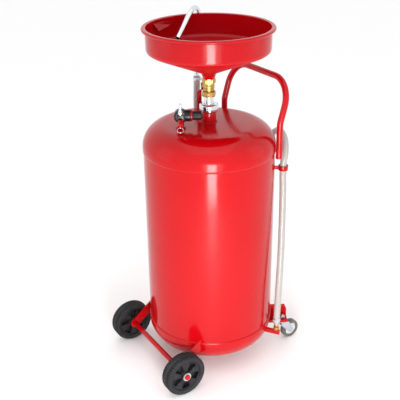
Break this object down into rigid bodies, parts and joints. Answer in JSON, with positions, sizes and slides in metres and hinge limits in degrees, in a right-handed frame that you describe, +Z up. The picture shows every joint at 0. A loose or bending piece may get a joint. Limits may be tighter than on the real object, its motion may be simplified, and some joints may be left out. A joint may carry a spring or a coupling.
{
  "type": "portable waste oil drainer",
  "caption": "Wheeled steel tank with a height-adjustable oil catch bowl on a telescopic tube, ball valve, drain hose, push handle and compressed-air emptying.",
  "frame": {"origin": "on the floor, in the middle of the object's footprint, on the tank's axis", "axes": "+Z up along the tank's axis; X along the axle; -Y towards the two big wheels, +Y towards the handle and the casters"},
  "size_m": [0.4176, 0.552, 1.0945],
  "materials": {
    "red_paint": "gloss",
    "zinc": "satin",
    "chrome": "polished",
    "brass": "satin",
    "black_plastic": "satin",
    "tyre_rubber": "matte",
    "caster_rubber": "matte",
    "seal_rubber": "matte",
    "nylon": "matte",
    "clear_hose": "gloss"
  },
  "bodies": {
    "tank": {"tank_shell": "red_paint", "tank_top_head": "red_paint", "tank_bottom_head": "red_paint", "filler_neck": "red_paint", "guide_sleeve": "nylon", "neck_seal": "seal_rubber", "handle": "red_paint", "wheel_bracket_left": "red_paint", "wheel_bracket_right": "red_paint", "caster_bracket_left": "red_paint", "caster_bracket_right": "red_paint", "hose_clip": "red_paint", "outlet_pipe": "red_paint", "outlet_fitting": "brass", "hose_clamp_lower": "zinc", "drain_hose": "clear_hose", "inlet_bung": "red_paint", "inlet_nipple": "brass", "regulator_body": "black_plastic", "quick_plug": "chrome", "safety_valve_body": "red_paint", "axle_rod": "red_paint", "axle_washer_left": "zinc", "axle_washer_right": "zinc", "caster_stem_left": "zinc", "caster_stem_right": "zinc", "caster_nut_left": "zinc", "caster_nut_right": "zinc"},
    "collar": {"lock_collar": "chrome"},
    "bowl_carriage": {"inner_tube": "chrome", "tube_stop": "zinc", "valve_body": "brass", "valve_end_nut": "brass", "valve_seat_upper": "nylon", "valve_seat_lower": "nylon", "gland_nut": "brass", "bowl": "red_paint", "drip_plate": "red_paint", "hook_nozzle": "chrome", "hose_clamp_upper": "zinc"},
    "valve_lever_set": {"valve_lever": "red_paint", "lever_nut": "black_plastic", "valve_stem": "brass", "valve_ball": "chrome"},
    "pressure_knob": {"regulator_knob": "black_plastic"},
    "knob_lock": {"regulator_lock_ring": "red_paint"},
    "safety_pull": {"safety_pull_ring": "chrome"},
    "wheel_left": {"tyre_left": "tyre_rubber", "wheel_rim_left": "black_plastic"},
    "wheel_right": {"tyre_right": "tyre_rubber", "wheel_rim_right": "black_plastic"},
    "caster_swivel_left": {"caster_fork_left": "zinc", "caster_bolt_left": "zinc"},
    "caster_swivel_right": {"caster_fork_right": "zinc", "caster_bolt_right": "zinc"},
    "caster_wheel_left": {"caster_tyre_left": "caster_rubber", "caster_hub_left": "nylon"},
    "caster_wheel_right": {"caster_tyre_right": "caster_rubber", "caster_hub_right": "nylon"}
  },
  "joints": [
    {"name": "bowl_height", "type": "slide", "parent": "tank", "child": "bowl_carriage", "axis": [0, 0, 1], "range_m": [0, 0.6]},
    {"name": "collar_turn", "type": "hinge", "parent": "tank", "child": "collar", "pos_m": [0, 0, 0.835], "axis": [0, 0, 1], "range_deg": [0, 180]},
    {"name": "valve_turn", "type": "hinge", "parent": "bowl_carriage", "child": "valve_lever_set", "pos_m": [0, 0, 0.8945], "axis": [1, 0, 0], "range_deg": [0, 90]},
    {"name": "pressure_knob_turn", "type": "hinge", "parent": "tank", "child": "pressure_knob", "pos_m": [0, -0.097, 0.826], "axis": [0.5299, 0.848, 0], "range_deg": [-360, 360]},
    {"name": "knob_lock_turn", "type": "hinge", "parent": "tank", "child": "knob_lock", "pos_m": [0, -0.097, 0.826], "axis": [0.5299, 0.848, 0], "range_deg": [-90, 90]},
    {"name": "safety_pull_slide", "type": "slide", "parent": "tank", "child": "safety_pull", "axis": [0.7192, -0.4494, -0.5299], "range_m": [0, 0.004], "stiffness_N_per_m": 800},
    {"name": "wheel_left_roll", "type": "hinge", "parent": "tank", "child": "wheel_left", "pos_m": [-0.1716, -0.209, 0.067], "axis": [1, 0, 0], "continuous": true},
    {"name": "caster_left_swivel", "type": "hinge", "parent": "tank", "child": "caster_swivel_left", "pos_m": [-0.118, 0.213, 0.07], "axis": [0, 0, 1], "continuous": true},
    {"name": "caster_left_roll", "type": "hinge", "parent": "caster_swivel_left", "child": "caster_wheel_left", "pos_m": [-0.118, 0.2445, 0.0315], "axis": [1, 0, 0], "continuous": true},
    {"name": "wheel_right_roll", "type": "hinge", "parent": "tank", "child": "wheel_right", "pos_m": [0.1716, -0.209, 0.067], "axis": [1, 0, 0], "continuous": true},
    {"name": "caster_right_swivel", "type": "hinge", "parent": "tank", "child": "caster_swivel_right", "pos_m": [0.118, 0.213, 0.07], "axis": [0, 0, 1], "continuous": true},
    {"name": "caster_right_roll", "type": "hinge", "parent": "caster_swivel_right", "child": "caster_wheel_right", "pos_m": [0.118, 0.2445, 0.0315], "axis": [1, 0, 0], "continuous": true}
  ]
}
